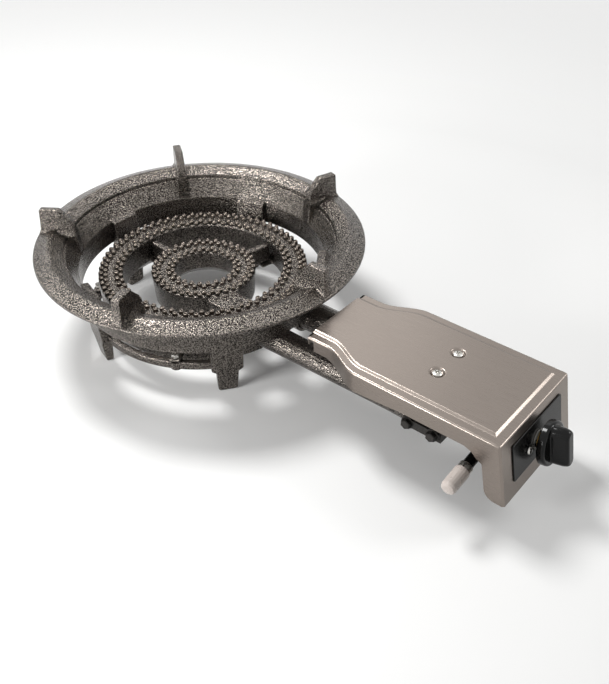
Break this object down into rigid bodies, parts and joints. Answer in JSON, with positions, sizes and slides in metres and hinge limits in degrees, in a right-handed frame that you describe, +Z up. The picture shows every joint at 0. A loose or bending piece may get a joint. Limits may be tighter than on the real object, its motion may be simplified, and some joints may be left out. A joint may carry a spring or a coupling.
{
  "type": "gas ring burner stand",
  "caption": "Cast-iron gas ring burner: studded concentric rings in a dished pan ring on short legs, with mixing tubes and a boxed control valve.",
  "frame": {"origin": "on the floor, under the middle of the bounding box", "axes": "+Z up, +Y from the control knob towards the pan ring, +X away from the gas inlet"},
  "size_m": [0.33, 0.5786, 0.131],
  "materials": {
    "hammertone_iron": "silver-vein hammertone paint on rough castings",
    "brushed_stainless": "finely brushed stainless sheet",
    "plated_steel": "bright zinc plated steel",
    "blackened_steel": "blackened steel",
    "brass": "machined brass",
    "black_coat": "black coat",
    "gloss_black_phenolic": "gloss black moulding",
    "milky_vinyl": "milky soft vinyl"
  },
  "bodies": {
    "stove": {"arm_screw_1": "plated_steel", "arm_screw_2": "plated_steel", "bracket_screw_1": "plated_steel", "bracket_screw_2": "plated_steel", "burner_bolt_1": "plated_steel", "burner_bolt_2": "plated_steel", "burner_bolt_3": "plated_steel", "burner_bolt_4": "plated_steel", "control_cover": "brushed_stainless", "cover_bracket": "blackened_steel", "cover_screw_1": "plated_steel", "cover_screw_2": "plated_steel", "gas_inlet_nipple": "black_coat", "inlet_ferrule": "plated_steel", "inner_burner": "hammertone_iron", "inner_injector": "brass", "inner_mixing_tube": "hammertone_iron", "outer_burner": "hammertone_iron", "outer_injector": "brass", "outer_mixing_tube": "hammertone_iron", "panel_plate": "black_coat", "panel_screw_1": "plated_steel", "panel_screw_2": "plated_steel", "spindle_spring": "plated_steel", "stand_frame": "hammertone_iron", "strap_bolt_1": "blackened_steel", "strap_bolt_2": "blackened_steel", "strap_bolt_3": "blackened_steel", "strap_bolt_4": "blackened_steel", "strap_left": "blackened_steel", "strap_right": "blackened_steel", "valve_body": "blackened_steel", "valve_bonnet": "brass", "valve_nut": "plated_steel"},
    "valve": {"valve_plug": "brass"},
    "knob": {"knob": "gloss_black_phenolic", "spindle": "plated_steel"},
    "inner_shutter": {"inner_air_shutter": "blackened_steel"},
    "outer_shutter": {"outer_air_shutter": "blackened_steel"},
    "inlet_cap": {"inlet_cap": "milky_vinyl"}
  },
  "joints": [
    {"name": "knob_turn", "type": "hinge", "parent": "stove", "child": "valve", "pos_m": [0, -0.2572, 0.0574], "axis": [0, -0.9801, 0.1987], "range_deg": [0, 180]},
    {"name": "knob_push", "type": "slide", "parent": "valve", "child": "knob", "axis": [0, 0.9801, -0.1987], "range_m": [0, 0.004], "stiffness_N_per_m": 1500, "springref_m": -0.002, "deforming": ["spindle_spring"]},
    {"name": "inner_shutter_turn", "type": "hinge", "parent": "stove", "child": "inner_shutter", "pos_m": [-0.023, -0.16474, 0.046], "axis": [0, 1, 0], "range_deg": [0, 60]},
    {"name": "outer_shutter_turn", "type": "hinge", "parent": "stove", "child": "outer_shutter", "pos_m": [0.0277, -0.16474, 0.046], "axis": [0, -1, 0], "range_deg": [0, 60]},
    {"name": "inlet_cap_pull", "type": "slide", "parent": "stove", "child": "inlet_cap", "axis": [-0.9936, 0, -0.1132], "range_m": [0, 0.03]}
  ]
}
